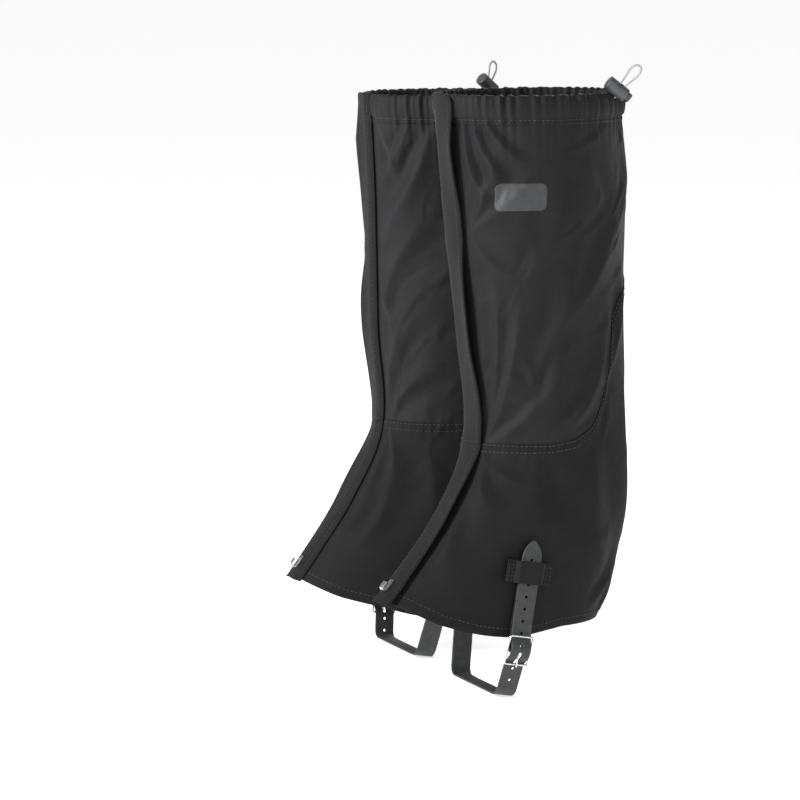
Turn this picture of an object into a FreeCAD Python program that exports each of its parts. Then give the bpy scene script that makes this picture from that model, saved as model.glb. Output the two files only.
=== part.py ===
import FreeCAD, Part
import math
import os

# A pair of knee-high mountaineering gaiters, standing as they are worn over two shoes.
# Row frame: +Z up, toes towards -Y, +X is the wearer's left.  The origin is on the ground,
# midway between the legs, under the ankle line.  The right gaiter mirrors the left one in
# the plane X = 0 and is worn a little lower; the line of its front, its seam and its hem's
# tip differ too, and its strap is shorter by the drop.
#
# Each gaiter is laid out in a leg frame (x away from the other leg, y to the heel, z up),
# which is then turned by toe_out and moved half of leg_spacing to the side.  The strap and
# buckle are laid out in a strap frame, upright, which is then leaned forward at its foot.

V = FreeCAD.Vector
UP = V(0, 0, 1)

doc = FreeCAD.newDocument("gaiters")
sheet = doc.addObject("Spreadsheet::Sheet", "Sizes")

# Millimetres and degrees.
SIZES = {
    "leg_spacing": 156.0,
    "toe_out": 8.0,
    "rim_height": 488.0,
    "casing_height": 20.0,
    "left_seam_height": 203.0,
    "right_seam_height": 208.0,
    "calf_height": 338.0,
    "wall": 1.5,
    "left_tip_height": 84.0,
    "right_tip_height": 79.0,
    "right_drop": 8.0,
    "flap_inner_edge": -13.0,
    "flap_outer_edge": 15.0,
    "flap_split": 4.0,
    "flap_gap": 1.0,
    "mitre_fall": 20.0,
    "tape_width": 11.0,
    "drawcord_diameter": 2.0,
    "lock_diameter": 11.5,
    "lock_length": 19.0,
    "lock_bore": 8.2,
    "button_diameter": 8.0,
    "button_length": 17.0,
    "button_travel": 2.5,
    "strap_width": 17.5,
    "strap_thickness": 1.8,
    "strap_lean": 10.0,
    "hole_pitch": 10.0,
    "hole_diameter": 2.4,
    "wire_diameter": 1.8,
    "bar_diameter": 1.6,
    "frame_width": 20.8,
    "frame_length": 24.2,
    "frame_corner": 1.8,
    "chape_thickness": 1.4,
    "prong_diameter": 1.6,
    "prong_eye_width": 3.0,
    "keeper_height": 18.5,
    "rivet_diameter": 6.0,
    "rivet_height": 1.6,
    "hook_width": 4.5,
    "patch_width": 38.0,
    "patch_height": 22.0,
}


def fill_sheet():
    """One row for each size: its name, its value and its alias."""
    for row, (name, value) in enumerate(SIZES.items(), start=1):
        sheet.set("A%d" % row, name)
        sheet.set("B%d" % row, repr(value))
        sheet.setAlias("B%d" % row, name)
    doc.recompute()


def size(name):
    return float(sheet.get(name))


fill_sheet()

# Height, front of the left leg, front of the right leg, rear, half width, and where the leg
# is widest, all in the leg frame.
LEG_SECTIONS = [
    (36.0, -205.0, -180.0, 53.0, 50.0, -8.0),
    (62.0, -165.0, -150.0, 67.0, 51.0, -2.0),
    (96.0, -126.0, -124.0, 82.0, 51.5, 5.0),
    (146.0, -82.5, -90.0, 92.0, 53.0, 12.0),
    (206.0, -53.0, -63.5, 92.0, 55.0, 15.0),
    (290.0, -59.0, -67.5, 88.0, 57.0, 10.0),
    (402.0, -73.0, -69.5, 88.0, 60.0, 5.0),
    (494.0, -81.5, -74.0, 82.0, 62.0, 0.0),
]
FRONT_COLUMN = {"left": 1, "right": 2}
SECTION_POINTS = 24
SECTION_STEP = 27.0  # the skins are lofted through sections about this far apart
REACH = 260.0  # half the size of the cutting blocks

# Side view of the hem, rear to front; the tip's height is set for each side.
HEM_LINE = [(100.0, 55.0), (0.0, 56.0), (-40.0, 50.0), (-76.0, 56.0)]
HEM_TIP = -140.0

# Where the hardware sits.
STRAP_SIDE = V(50.0, -41.6, 0.0)  # on the outer face of the leg, at the buckle
BUCKLE = V(56.2, 0.0, 41.5)  # the centre bar, in the strap frame
FRAME_TILT = 10.0
LOCK_ANGLE = 126.0  # round the rim from the front, towards the outer side
LOOP_LEG = 2.2  # half the distance between the cord's two legs in the lock
CLEAR = 0.2

PIECES = []


# ---------------------------------------------------------------- frames and output

def leg_frame():
    turn = FreeCAD.Rotation(UP, size("toe_out"))
    return FreeCAD.Placement(V(size("leg_spacing") / 2, 0, 0), turn)


def strap_frame():
    """The strap frame leans about the buckle's centre bar, and its x is the row's x."""
    side = leg_frame().multVec(STRAP_SIDE)
    lean = FreeCAD.Rotation(V(1, 0, 0), -size("strap_lean"))
    return FreeCAD.Placement(V(side.x - STRAP_SIDE.x, side.y, 0), lean, V(0, 0, BUCKLE.z))


def mirrored(name, source):
    """The right-hand copy of an object, worn lower by the drop."""
    copy = doc.addObject("Part::Mirroring", "right_" + name)
    copy.Source = source
    copy.Normal = V(1, 0, 0)
    copy.Base = V(0, 0, 0)
    copy.Placement = FreeCAD.Placement(V(0, 0, -size("right_drop")), FreeCAD.Rotation())
    return copy


def keep(label, thing):
    thing.Label = label
    PIECES.append(thing)


def place_both(name, thing, frame):
    """One piece that is the same on both gaiters, apart from the mirror."""
    thing.Placement = frame
    keep("left_" + name, thing)
    keep("right_" + name, mirrored(name, thing))


def place_side(side, name, thing, frame):
    """A piece made for one side only; on the right, the mirrored copy is the piece."""
    thing.Placement = frame
    if side == "left":
        keep("left_" + name, thing)
    else:
        thing.Label = "source_" + name
        keep("right_" + name, mirrored(name, thing))


def feature(name, shape):
    thing = doc.addObject("Part::Feature", name)
    thing.Shape = shape
    return thing


# ---------------------------------------------------------------- sketch helpers

def new_body(name):
    return doc.addObject("PartDesign::Body", name)


def sketch_on(body, role, name):
    plane = [item for item in body.Origin.OriginFeatures if item.Role == role][0]
    sketch = body.newObject("Sketcher::SketchObject", name)
    sketch.AttachmentSupport = [(plane, "")]
    sketch.MapMode = "FlatFace"
    return sketch


def polygon(sketch, points):
    corners = [V(x, y, 0) for x, y in points]
    edges = [Part.LineSegment(a, b) for a, b in zip(corners, corners[1:] + corners[:1])]
    sketch.addGeometry(edges, False)


def circle(sketch, x, y, radius):
    sketch.addGeometry(Part.Circle(V(x, y, 0), UP, radius), False)


def slot(sketch, x, low, high, radius):
    """A slot with round ends that runs from low to high along the sketch's y."""
    sketch.addGeometry(
        [
            Part.LineSegment(V(x - radius, low + radius, 0), V(x - radius, high - radius, 0)),
            Part.Arc(V(x - radius, high - radius, 0), V(x, high, 0), V(x + radius, high - radius, 0)),
            Part.LineSegment(V(x + radius, high - radius, 0), V(x + radius, low + radius, 0)),
            Part.Arc(V(x + radius, low + radius, 0), V(x, low, 0), V(x - radius, low + radius, 0)),
        ],
        False,
    )


def pad(body, sketch, name, length, both_ways=True):
    """length is a number or an expression on the sheet."""
    made = body.newObject("PartDesign::Pad", name)
    made.Profile = sketch
    made.SideType = "Symmetric" if both_ways else "One side"
    if isinstance(length, str):
        made.setExpression("Length", length)
    else:
        made.Length = length
    return made


def pocket(body, sketch, name, length, reverse=False, both_ways=False):
    """Cut a pocket, and make sure that it took material away."""
    doc.recompute()
    before = body.Shape.Volume
    made = body.newObject("PartDesign::Pocket", name)
    made.Profile = sketch
    made.SideType = "Symmetric" if both_ways else "One side"
    made.Length = length
    made.Reversed = reverse
    doc.recompute()
    if body.Shape.Volume >= before - 0.01:
        raise RuntimeError(name + " cuts nothing")
    return made


# ---------------------------------------------------------------- routes of runs and arcs

def route_parts(points, radii=None):
    """Straight runs joined by tangent arcs.

    With no radii, each arc is as large as its runs allow: it takes 0.45 of the shorter one.
    A part is (start, end) for a run and (start, middle, end, centre, radius) for an arc.
    """
    parts = []
    here = points[0]
    for index in range(1, len(points) - 1):
        before = points[index] - points[index - 1]
        after = points[index + 1] - points[index]
        into = V(before).normalize()
        out = V(after).normalize()
        half_turn = into.getAngle(out) / 2
        if radii is None:
            back = 0.45 * min(before.Length, after.Length)
            radius = back / math.tan(half_turn)
        else:
            radius = radii[index - 1]
            back = radius * math.tan(half_turn)
        start = points[index] - into * back
        end = points[index] + out * back
        centre = points[index] + (out - into).normalize() * (radius / math.cos(half_turn))
        middle = centre + (points[index] - centre).normalize() * radius
        parts.append((here, start))
        parts.append((start, middle, end, centre, radius))
        here = end
    parts.append((here, points[-1]))
    return parts


def route_wire(points, radii=None):
    edges = []
    for part in route_parts(points, radii):
        edges.append(Part.LineSegment(*part[:2]).toShape() if len(part) == 2
                     else Part.Arc(*part[:3]).toShape())
    return Part.Wire(edges)


def tube(name, points, diameter):
    """A cord's tube along a route; its volume has to be its section times its length."""
    wire = route_wire(points)
    radii = [part[4] for part in route_parts(points) if len(part) == 5]
    ring = Part.Circle(points[0], points[1] - points[0], diameter / 2).toShape()
    solid = wire.makePipeShell([Part.Wire([ring])], True, False)
    expected = math.pi * diameter ** 2 / 4 * wire.Length
    print("%s: length %.1f, radii %s, volume ratio %.4f"
          % (name, wire.Length, ["%.1f" % r for r in radii], solid.Volume / expected))
    return solid


def band_outline(points, radii, thickness):
    """The closed side view of a band that follows a route in the sketch's plane."""
    half = thickness / 2
    sides = []
    for sign in (1, -1):
        side = []
        for part in route_parts(points, radii):
            if len(part) == 2:
                along = (part[1] - part[0]).normalize()
                shift = V(-along.y, along.x, 0) * half * sign
                side.append((part[0] + shift, part[1] + shift))
            else:
                start, middle, end, centre, radius = part
                turn = (middle - start).cross(end - middle).z
                new_radius = radius - half * sign if turn > 0 else radius + half * sign
                side.append(tuple(centre + (point - centre) * (new_radius / radius)
                                  for point in (start, middle, end)))
        sides.append(side)
    left = sides[0]
    right = [tuple(reversed(part)) for part in reversed(sides[1])]
    outline = left + [(left[-1][-1], right[0][0])] + right + [(right[-1][-1], left[0][0])]
    return [Part.LineSegment(*part) if len(part) == 2 else Part.Arc(*part) for part in outline]


# ---------------------------------------------------------------- the leg's surface

def section_slope(index, column):
    """The slope that a smooth curve through the sections has at one of them."""
    below = LEG_SECTIONS[max(index - 1, 0)]
    above = LEG_SECTIONS[min(index + 1, len(LEG_SECTIONS) - 1)]
    return (above[column] - below[column]) / (above[0] - below[0])


def section_value(column, height):
    """One column of the sections at any height, by smooth interpolation."""
    index = 0
    while index < len(LEG_SECTIONS) - 2 and height > LEG_SECTIONS[index + 1][0]:
        index += 1
    low, high = LEG_SECTIONS[index], LEG_SECTIONS[index + 1]
    span = high[0] - low[0]
    t = (height - low[0]) / span
    start = section_slope(index, column) * span
    end = section_slope(index + 1, column) * span
    step = high[column] - low[column]
    square = 3 * step - 2 * start - end
    cube = start + end - 2 * step
    return low[column] + t * (start + t * (square + t * cube))


def leg_point(side, angle_degrees, height, grow):
    """A point of the leg's surface; the angle runs from the front to the outer side."""
    columns = (FRONT_COLUMN[side], 3, 4, 5)
    front, rear, half_width, widest = [section_value(column, height) for column in columns]
    angle = math.radians(angle_degrees)
    reach = widest - front if math.cos(angle) > 0 else rear - widest
    x = (half_width + grow) * math.sin(angle)
    y = widest - (reach + grow) * math.cos(angle)
    return V(x, y, height)


def section_wire(side, height, grow):
    """An egg, longer to the front than to the rear, grown outwards by grow."""
    turn = 360.0 / SECTION_POINTS
    points = [leg_point(side, turn * index, height, grow) for index in range(SECTION_POINTS)]
    curve = Part.BSplineCurve()
    curve.interpolate(points, PeriodicFlag=True)
    return Part.Wire([curve.toShape()])


def section_heights():
    low, high = LEG_SECTIONS[0][0], LEG_SECTIONS[-1][0]
    count = round((high - low) / SECTION_STEP)
    return [low + (high - low) * index / count for index in range(count + 1)]


def layer(side, inner, outer):
    """The closed skin between two offsets of the leg's surface."""
    faces = []
    rims = []
    for grow in (outer, inner):
        wires = [section_wire(side, height, grow) for height in section_heights()]
        wall = Part.makeLoft(wires, False, False)
        level = [edge for edge in wall.Edges if edge.BoundBox.ZLength < 0.01]
        rims.append(sorted(level, key=lambda edge: edge.BoundBox.ZMin))
        faces += wall.Faces
    for end in (0, 1):
        faces.append(Part.Face([Part.Wire([rims[0][end]]), Part.Wire([rims[1][end]])]))
    shell = Part.Shell(faces)
    shell.sewShape()
    skin = Part.Solid(shell)
    skin.fix(1e-6, 1e-6, 1e-6)
    return skin


def block(low, high):
    corner = V(*low)
    length = V(*high) - corner
    return Part.makeBox(length.x, length.y, length.z, corner)


def between(low, high):
    return block((-REACH, -REACH, low), (REACH, REACH, high))


def column(x_low, x_high, z_low, z_high):
    """A block over the front of the leg."""
    return block((x_low, -REACH, z_low), (x_high, 0, z_high))


def side_prism(line, floor):
    """Everything below a line of the side view, all the way across the leg."""
    corners = [V(-REACH / 2, y, z) for y, z in line]
    first = V(-REACH / 2, corners[0].y, floor)
    last = V(-REACH / 2, corners[-1].y, floor)
    curve = Part.BSplineCurve()
    curve.interpolate(corners)
    edges = [curve.toShape(), Part.makeLine(corners[-1], last),
             Part.makeLine(last, first), Part.makeLine(first, corners[0])]
    return Part.Face(Part.Wire(edges)).extrude(V(REACH, 0, 0))


def hem_line(side, lift=0.0):
    tip = size(side + "_tip_height")
    middle = 0.36 * tip + 0.64 * HEM_LINE[-1][1]
    line = HEM_LINE + [(-108.0, middle), (HEM_TIP, tip), (-REACH, tip + 57.0)]
    return [(y, z + lift) for y, z in line]


def heavy_region(side, lift):
    """The heavy fabric: everything below the seam, which climbs behind the calf."""
    seam = size(side + "_seam_height") + lift
    top = size("calf_height") + lift
    rise = [(0.0, seam), (28.0, seam + 13.0), (44.0, seam + 43.0), (50.0, seam + 82.0),
            (62.0, top - 18.0), (95.0, top)]
    upper = Part.BSplineCurve()
    upper.interpolate([V(-REACH / 2, y, z) for y, z in rise])
    first = V(-REACH / 2, -REACH, seam)
    start = V(-REACH / 2, 0.0, seam)
    end = V(-REACH / 2, 95.0, top)
    under = [V(-REACH / 2, 95.0, 0), V(-REACH / 2, -REACH, 0)]
    edges = [Part.makeLine(first, start), upper.toShape(), Part.makeLine(end, under[0]),
             Part.makeLine(under[0], under[1]), Part.makeLine(under[1], first)]
    return Part.Face(Part.Wire(edges)).extrude(V(REACH, 0, 0))


OUTER_HALF = block((CLEAR / 2, -REACH, 0), (REACH, REACH, 2 * REACH))
INNER_HALF = block((-REACH, -REACH, 0), (-CLEAR / 2, REACH, 2 * REACH))


# ---------------------------------------------------------------- fabric

def panels(side):
    """Two light upper panels and two heavy lower ones, meeting at the front and the rear."""
    casing_foot = size("rim_height") - size("casing_height")
    shell = layer(side, -size("wall"), 0.0).common(between(0.0, casing_foot - CLEAR))
    shell = shell.cut(side_prism(hem_line(side), 0.0))
    heavy = shell.common(heavy_region(side, 0.0))
    light = shell.cut(heavy_region(side, CLEAR))
    for part, cloth in (("lower", heavy), ("upper", light)):
        for half, half_space in (("outer", OUTER_HALF), ("inner", INNER_HALF)):
            name = "%s_%s_panel" % (part, half)
            panel = feature("%s_%s" % (side, name), cloth.common(half_space))
            place_side(side, name, panel, leg_frame())


def hem_facing(side):
    """The hem's folded allowance, inside the lower panels, open at the front."""
    inner = -size("wall") - 0.9
    ring = layer(side, inner, -size("wall") - 0.12)
    band = ring.common(side_prism(hem_line(side, 10.0), 0.0)).cut(side_prism(hem_line(side), -10.0))
    opening = column(-14.0, 14.0, 0.0, size(side + "_seam_height"))
    place_side(side, "hem_facing", feature(side + "_hem_facing", band.cut(opening)), leg_frame())


def top_casing(side):
    """The gathered tunnel at the rim, hollow for its cord, open at the front and at the lock."""
    top = size("rim_height")
    foot = top - size("casing_height")
    skin = layer(side, -3.2, 1.2).common(between(foot, top))
    tunnel = layer(side, -2.4, 0.4).common(between(foot + 3.5, top - 3.5))
    front = column(-1.0, 1.0, foot, top)
    tube_around_exit = Part.makeCylinder(4.6, 30.0, lock_point(-12.0), lock_axes()[1])
    casing = skin.cut(tunnel).cut(front).cut(tube_around_exit)
    place_side(side, "top_casing", feature(side + "_top_casing", casing), leg_frame())


FLAP_FACES = (2.75, 4.1)  # how far the flap's two faces stand off the leg's surface


def mitre(top):
    """What lies above a line falling from the flap's hinge edge to its free edge."""
    inner = size("flap_inner_edge")
    outer = size("flap_outer_edge")
    slope = size("mitre_fall") / (outer - inner)
    beyond = outer + 5.0
    outline = [V(inner - 5.0, -REACH, top), V(inner, -REACH, top),
               V(beyond, -REACH, top - slope * (beyond - inner)),
               V(beyond, -REACH, top + 60.0), V(inner - 5.0, -REACH, top + 60.0)]
    face = Part.Face(Part.makePolygon(outline + outline[:1]))
    return face.extrude(V(0, REACH, 0))


def flap_part(side, name, low, high, hem=None):
    """A stretch of the storm flap, standing off the shell by the two tapes."""
    strip = column(size("flap_inner_edge"), size("flap_outer_edge"), low, high)
    band = layer(side, FLAP_FACES[0], FLAP_FACES[1]).common(strip)
    if hem:
        band = band.cut(side_prism(hem, 0.0)).cut(mitre(high))
    place_side(side, name, feature(side + "_" + name, band), leg_frame())


def tapes(side, part, low, high, hem=None):
    """Loop tape on the outer panel and hook tape on the flap, facing each other."""
    x_high = size("flap_outer_edge") - 1.0
    x_low = x_high - size("tape_width")
    for name, inner, outer in (("loop_tape", 0.15, 1.05), ("hook_tape", 1.65, 2.55)):
        band = layer(side, inner, outer).common(column(x_low, x_high, low, high))
        if hem:
            band = band.cut(side_prism(hem, 0.0))
        if hem and name == "hook_tape":
            band = band.cut(mitre(high + 3.0))
        tape = feature("%s_%s_%s" % (side, part, name), band)
        place_side(side, part + "_" + name, tape, leg_frame())


def front_closure(side):
    split = size(side + "_seam_height") + size("flap_split")
    casing_foot = size("rim_height") - size("casing_height")
    flap_part(side, "upper_flap", split, size("rim_height") + 3.0)
    flap_part(side, "lower_flap", 0.0, split - size("flap_gap"), hem_line(side, -1.0))
    tapes(side, "upper", split + 6.0, casing_foot - 2.0)
    tapes(side, "lower", 0.0, split - 6.0, hem_line(side, 8.0))


def reflective_patch(side):
    """A plain rounded patch on the outer side below the rim."""
    centre = V(0, -37.0, 409.0)
    half_width = size("patch_width") / 2
    half_height = size("patch_height") / 2
    plate = block((20.0, centre.y - half_width, centre.z - half_height),
                  (REACH / 2, centre.y + half_width, centre.z + half_height))
    upright = [edge for edge in plate.Edges
               if abs(edge.tangentAt(edge.FirstParameter).x) > 0.99]
    plate = plate.makeFillet(half_height * 0.45, upright)
    patch = layer(side, 0.05, 0.4).common(plate)
    place_side(side, "reflective_patch", feature(side + "_reflective_patch", patch), leg_frame())


# ---------------------------------------------------------------- drawcord and its lock

def lock_axes():
    """Unit vectors at the lock: along the barrel, along the cord's legs, and across both."""
    ahead = leg_point("left", LOCK_ANGLE + 1.0, size("rim_height"), 0.0)
    behind = leg_point("left", LOCK_ANGLE - 1.0, size("rim_height"), 0.0)
    tangent = (ahead - behind).normalize()
    outward = tangent.cross(UP).normalize()
    legs = (outward + UP).normalize()
    barrel = (tangent * 0.5 + (outward - UP).normalize() * 0.866).normalize()
    return barrel, legs, barrel.cross(legs)


def lock_point(along_legs, along_barrel=0.0):
    """A point in the leg frame, measured from the barrel's centre, just off the rim's edge."""
    barrel, legs, across = lock_axes()
    corner = leg_point("left", LOCK_ANGLE, size("rim_height"), 1.2)
    centre = corner + legs * (size("lock_diameter") / 2 + 0.8)
    return centre + legs * along_legs + barrel * along_barrel


def lock_frame():
    """Body z runs along the barrel towards its button, and body x along the cord's legs."""
    barrel, legs, across = lock_axes()
    turn = FreeCAD.Rotation(legs, barrel.cross(legs), barrel, "XZY")
    return leg_frame() * FreeCAD.Placement(lock_point(0.0), turn)


LOCK_TOP = 8.0  # the barrel's open end, along its axis
LOOP_SLOT = 3.4  # half the length of the slot that the cord's two legs pass through


def cord_lock_body():
    body = new_body("cord_lock_body")
    low = LOCK_TOP - size("lock_length")
    barrel = sketch_on(body, "XY_Plane", "barrel_section")
    circle(barrel, 0, 0, size("lock_diameter") / 2)
    barrel.AttachmentOffset = FreeCAD.Placement(V(0, 0, low), FreeCAD.Rotation())
    pad(body, barrel, "barrel", "Sizes.lock_length", both_ways=False)
    bore = sketch_on(body, "XY_Plane", "bore_section")
    circle(bore, 0, 0, size("lock_bore") / 2)
    bore.AttachmentOffset = FreeCAD.Placement(V(0, 0, LOCK_TOP), FreeCAD.Rotation())
    pocket(body, bore, "bore", size("lock_length") - 1.6)
    window = sketch_on(body, "YZ_Plane", "window_section")
    slot(window, 0, -LOOP_SLOT, LOOP_SLOT, 1.2)
    pocket(body, window, "window", 2 * size("lock_diameter"), both_ways=True)
    round_rims(body, "rounded_ends", size("lock_diameter") / 2, 1.2, low)
    place_both("cord_lock_body", body, lock_frame())


def round_rims(body, name, rim_radius, radius, lowest):
    """Round off the full circles of rim_radius at or above a height."""
    doc.recompute()
    last = body.Tip
    rims = []
    for index, edge in enumerate(last.Shape.Edges, start=1):
        is_circle = isinstance(edge.Curve, Part.Circle) and len(edge.Vertexes) == 1
        if is_circle and abs(edge.Curve.Radius - rim_radius) < 0.01:
            if edge.CenterOfMass.z >= lowest - 0.01:
                rims.append("Edge%d" % index)
    round_off = body.newObject("PartDesign::Fillet", name)
    round_off.Base = (last, rims)
    round_off.Radius = radius
    body.Tip = round_off


def cord_lock_button():
    body = new_body("cord_lock_button")
    low = -5.0
    stem = sketch_on(body, "XY_Plane", "stem_section")
    circle(stem, 0, 0, size("button_diameter") / 2)
    stem.AttachmentOffset = FreeCAD.Placement(V(0, 0, low), FreeCAD.Rotation())
    pad(body, stem, "stem", "Sizes.button_length", both_ways=False)
    window = sketch_on(body, "YZ_Plane", "window_section")
    slot(window, 0, -LOOP_SLOT, LOOP_SLOT + size("button_travel"), 1.2)
    pocket(body, window, "window", 2 * size("button_diameter"), both_ways=True)
    round_rims(body, "rounded_top", size("button_diameter") / 2, 1.0, 0.0)
    place_both("cord_lock_button", body, lock_frame())


def cord_lock_spring():
    """A small steel coil between the barrel's floor and the button's stem."""
    wire_radius = 0.3
    foot = LOCK_TOP - size("lock_length") + 1.6 + wire_radius + 0.05
    head = -5.0 - wire_radius - 0.05
    coil_radius = 2.9
    steps = 42
    steps_per_turn = 12
    route = []
    for step in range(steps + 1):
        turn = 2 * math.pi * step / steps_per_turn
        route.append(V(coil_radius * math.cos(turn), coil_radius * math.sin(turn),
                       (head - foot) * step / steps))
    centre_line = Part.BSplineCurve()
    centre_line.interpolate(route)
    start = centre_line.tangent(centre_line.FirstParameter)[0]
    section = Part.Wire([Part.Circle(route[0], start, wire_radius).toShape()])
    coil = Part.Wire([centre_line.toShape()]).makePipeShell([section], True, True)
    lifted = lock_frame() * FreeCAD.Placement(V(0, 0, foot), FreeCAD.Rotation())
    place_both("cord_lock_spring", feature("cord_lock_spring", coil), lifted)


def loop_route():
    """The free loop: out of the rim, through the lock, round, and back through the lock."""
    # along the barrel, along the legs, and how far the cord sags to the side there
    stops = [(LOOP_LEG, -7.5, 0.0), (LOOP_LEG, 7.0, 0.0), (3.6, 14.0, 0.3), (4.6, 21.0, 0.8),
             (2.6, 26.5, 1.6), (-2.2, 26.9, 1.6),
             (-4.6, 21.4, 0.8), (-3.2, 14.0, 0.3), (-LOOP_LEG, 7.0, 0.0), (-LOOP_LEG, -7.5, 0.0)]
    across = lock_axes()[2]
    return [lock_point(leg, barrel) - across * sag for barrel, leg, sag in stops]


def cord_loop():
    shape = tube("cord_loop", loop_route(), 1.8)
    place_both("cord_loop", feature("cord_loop", shape), leg_frame())


def drawcord(side):
    """The elastic cord inside the casing, in two lengths that come out at the lock."""
    level = size("rim_height") - size("casing_height") / 2
    stretches = []
    for start, stop, steps in ((4.0, LOCK_ANGLE - 6.0, 14), (LOCK_ANGLE + 6.0, 356.0, 26)):
        angles = [start + (stop - start) * i / steps for i in range(steps + 1)]
        points = [leg_point(side, angle, level, -0.9) for angle in angles]
        stretches.append(tube(side + "_drawcord", points, size("drawcord_diameter")))
    cord = feature(side + "_drawcord", Part.makeCompound(stretches))
    place_side(side, "drawcord", cord, leg_frame())


# ---------------------------------------------------------------- strap, buckle and keeper

def tilted(along, outward):
    """A point beside the buckle: along its frame (up) and out from it, in the strap frame."""
    tilt = math.radians(FRAME_TILT)
    up = V(math.sin(tilt), 0, math.cos(tilt))
    out = V(math.cos(tilt), 0, -math.sin(tilt))
    return BUCKLE + up * along + out * outward


STRAP_TIP = 132.0
FIRST_HOLE = 115.5
HOLES = 11
SOLE = 2.0  # the strap's centre under the sole


def strap_route(side):
    """From the pointed end down the outer side, through the buckle, under the sole and up."""
    sole = SOLE + (size("right_drop") if side == "right" else 0.0)
    bar = size("frame_length") / 2
    behind = -(size("wire_diameter") / 2 + size("strap_thickness") / 2 + 1.1)
    points = [V(51.6, 0, STRAP_TIP), V(53.0, 0, 100.0), V(54.3, 0, 66.0), tilted(bar + 0.4, behind),
              tilted(2.0, 4.0), tilted(-4.0, 3.2), tilted(-bar + 0.2, behind),
              V(44.5, 0, sole), V(-44.5, 0, sole),
              V(-55.4, 0, 52.0), V(-57.2, 0, 70.0), V(-57.2, 0, 102.0)]
    radii = [60.0, 40.0, 8.0, 5.5, 5.5, 6.0, 9.0, 9.0, 40.0, 40.0]
    return points, radii


def instep_strap(side):
    body = new_body(side + "_instep_strap")
    points, radii = strap_route(side)
    flat = [V(p.x, p.z, 0) for p in points]
    outline = sketch_on(body, "XZ_Plane", side + "_strap_side")
    outline.addGeometry(band_outline(flat, radii, size("strap_thickness")), False)
    pad(body, outline, side + "_strap_band", "Sizes.strap_width")
    half = size("strap_width") / 2
    for sign in (1, -1):
        tip = sketch_on(body, "YZ_Plane", "%s_tip_side_%d" % (side, sign + 1))
        shoulder = V(sign * half, STRAP_TIP - 17.0, 0)
        peak = V(0, STRAP_TIP, 0)
        bulge = V(sign * half * 0.72, STRAP_TIP - 6.5, 0)
        outside = V(sign * (half + 2.0), STRAP_TIP - 17.0, 0)
        above = V(sign * (half + 2.0), STRAP_TIP + 4.0, 0)
        over_peak = V(0, STRAP_TIP + 4.0, 0)
        tip.addGeometry([Part.Arc(shoulder, bulge, peak), Part.LineSegment(peak, over_peak),
                         Part.LineSegment(over_peak, above), Part.LineSegment(above, outside),
                         Part.LineSegment(outside, shoulder)], False)
        pocket(body, tip, "%s_tip_cut_%d" % (side, sign + 1), 100.0, reverse=True)
    holes = sketch_on(body, "YZ_Plane", side + "_hole_row")
    for index in range(HOLES):
        height = FIRST_HOLE - index * size("hole_pitch")
        if index == 8:
            slot(holes, 0, height - 5.5, height + 5.0, size("hole_diameter") / 2 + 0.3)
        else:
            circle(holes, 0, height, size("hole_diameter") / 2)
    pocket(body, holes, side + "_holes", 100.0, reverse=True)
    place_side(side, "instep_strap", body, strap_frame())


def buckle_bar_frame():
    """Body z runs up the frame and body x out of it, with the centre bar on body y."""
    tilt = FreeCAD.Placement(BUCKLE, FreeCAD.Rotation(V(0, 1, 0), FRAME_TILT))
    return strap_frame() * tilt


def buckle_frame():
    """A wire rectangle with a centre bar."""
    body = new_body("buckle_frame")
    half_width = size("frame_width") / 2
    half_length = size("frame_length") / 2
    corner = size("frame_corner")
    spine = sketch_on(body, "YZ_Plane", "frame_line")
    outline = [(half_width, half_length), (-half_width, half_length),
               (-half_width, -half_length), (half_width, -half_length)]
    edges = []
    for index, (x, y) in enumerate(outline):
        next_x, next_y = outline[(index + 1) % 4]
        step = V(next_x - x, next_y - y, 0).normalize() * corner
        start = V(x, y, 0) + step
        end = V(next_x, next_y, 0) - step
        edges.append(Part.LineSegment(start, end))
        after_x, after_y = outline[(index + 2) % 4]
        leave = V(next_x, next_y, 0) + V(after_x - next_x, after_y - next_y, 0).normalize() * corner
        centre = end + leave - V(next_x, next_y, 0)
        middle = centre + (V(next_x, next_y, 0) - centre).normalize() * corner
        edges.append(Part.Arc(end, middle, leave))
    spine.addGeometry(edges, False)
    ring = sketch_on(body, "XY_Plane", "wire_section")
    circle(ring, 0, half_width, size("wire_diameter") / 2)
    doc.recompute()
    pipe = body.newObject("PartDesign::AdditivePipe", "frame_wire")
    pipe.Profile = ring
    pipe.Spine = spine
    doc.recompute()
    bar = sketch_on(body, "XZ_Plane", "bar_section")
    circle(bar, 0, 0, size("bar_diameter") / 2)
    pad(body, bar, "centre_bar", "Sizes.frame_width + 0.6")
    place_both("buckle_frame", body, buckle_bar_frame())


def prong_end():
    """Where the prong's line meets the front of the bottom bar, in the buckle's frame."""
    stand = size("wire_diameter") / 2 + size("prong_diameter") / 2 + 0.12
    return V(stand, 0, -size("frame_length") / 2)


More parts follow.
